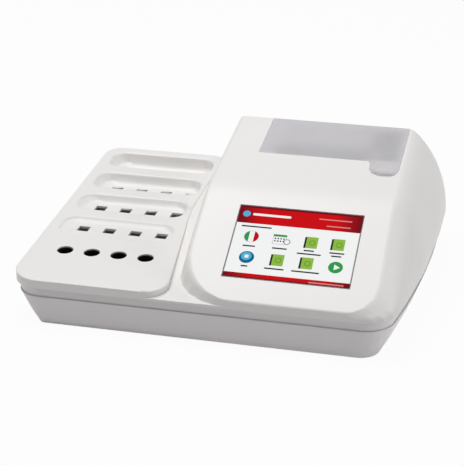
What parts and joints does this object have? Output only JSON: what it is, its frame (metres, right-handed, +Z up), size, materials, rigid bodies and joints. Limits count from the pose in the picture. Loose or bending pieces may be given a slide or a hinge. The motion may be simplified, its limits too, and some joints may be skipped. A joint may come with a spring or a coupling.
{
  "type": "bench photometric oil analyser",
  "caption": "Bench analyser for edible oils: heated cell deck, round reading wells, sloping colour touch display and a built-in ticket printer under a smoked lid.",
  "frame": {"origin": "on the bench, under the middle of the body", "axes": "+X to the user's right, +Y to the back, +Z up"},
  "size_m": [0.353, 0.292, 0.1197],
  "materials": {
    "white_abs": "satin moulded",
    "base_abs": "satin moulded",
    "smoked_lid": "smoked translucent plastic",
    "foot_rubber": "matt",
    "screw_steel": "zinc plated",
    "bright_steel": "ground",
    "sheet_steel": "galvanised",
    "display_glass": "polished",
    "display_frame": "black",
    "black_foam": "foam",
    "tray_abs": "moulded",
    "roller_rubber": "ground",
    "nylon_gear": "moulded",
    "brass": "machined",
    "head_ceramic": "glazed strip",
    "block_aluminium": "milled",
    "black_aluminium": "black anodised",
    "heater_silicone": "matt",
    "circuit_board": "solder mask",
    "black_epoxy": "moulded",
    "led_epoxy": "clear",
    "thermal_paper": "smooth",
    "core_card": "plain",
    "black_plastic": "moulded"
  },
  "bodies": {
    "case": {"base_tub": "base_abs", "cell_deck": "white_abs", "trough_trays": "white_abs", "well_bezels": "white_abs", "top_cover": "white_abs", "rubber_feet": "foot_rubber", "case_screws": "screw_steel", "touch_glass": "display_glass", "lcd_module": "display_frame", "display_gasket": "black_foam", "display_bracket": "sheet_steel", "display_screws": "screw_steel", "lid_hinge_pins": "bright_steel", "printer_tray": "tray_abs", "printer_frame": "sheet_steel", "printer_motor": "sheet_steel", "print_head": "head_ceramic", "head_sink": "block_aluminium", "tear_bar": "bright_steel", "cuvette_rail_1": "block_aluminium", "cuvette_rail_2": "block_aluminium", "cuvette_rail_3": "block_aluminium", "cuvette_rail_4": "block_aluminium", "heater_plate": "block_aluminium", "heater_pad": "heater_silicone", "reading_cells": "black_aluminium", "led_board": "circuit_board", "leds": "led_epoxy", "detector_board": "circuit_board", "photodiodes": "black_epoxy", "main_board": "circuit_board", "board_screws": "screw_steel", "board_parts": "black_epoxy", "power_jack": "black_plastic", "switch_housing": "black_plastic", "usb_socket": "bright_steel"},
    "lid": {"printer_lid": "smoked_lid"},
    "platen": {"platen_roller": "roller_rubber", "platen_shaft": "bright_steel", "platen_gear": "nylon_gear"},
    "pinion": {"motor_pinion": "brass", "motor_shaft": "bright_steel"},
    "roll": {"paper_roll": "thermal_paper", "roll_core": "core_card"},
    "rocker": {"power_rocker": "black_plastic"}
  },
  "joints": [
    {"name": "lid_hinge", "type": "hinge", "parent": "case", "child": "lid", "pos_m": [0.07305, 0.116, 0.10546], "axis": [-1, 0, 0], "range_deg": [0, 98]},
    {"name": "platen_spin", "type": "hinge", "parent": "case", "child": "platen", "pos_m": [0.0645, 0.04516, 0.09869], "axis": [1, 0, 0], "continuous": true},
    {"name": "pinion_spin", "type": "hinge", "parent": "case", "child": "pinion", "pos_m": [0.1135, 0.05616, 0.0907], "axis": [1, 0, 0], "continuous": true},
    {"name": "roll_spin", "type": "hinge", "parent": "case", "child": "roll", "pos_m": [0.0645, 0.07444, 0.08389], "axis": [1, 0, 0], "continuous": true},
    {"name": "rocker_tip", "type": "hinge", "parent": "case", "child": "rocker", "pos_m": [0.0485, 0.127, 0.0165], "axis": [0, 0, 1], "range_deg": [0, 16]}
  ],
  "couplings": [
    {"joint": "pinion_spin", "follows": "platen_spin", "ratio": -1.4286},
    {"joint": "roll_spin", "follows": "platen_spin", "ratio": 0.25}
  ]
}
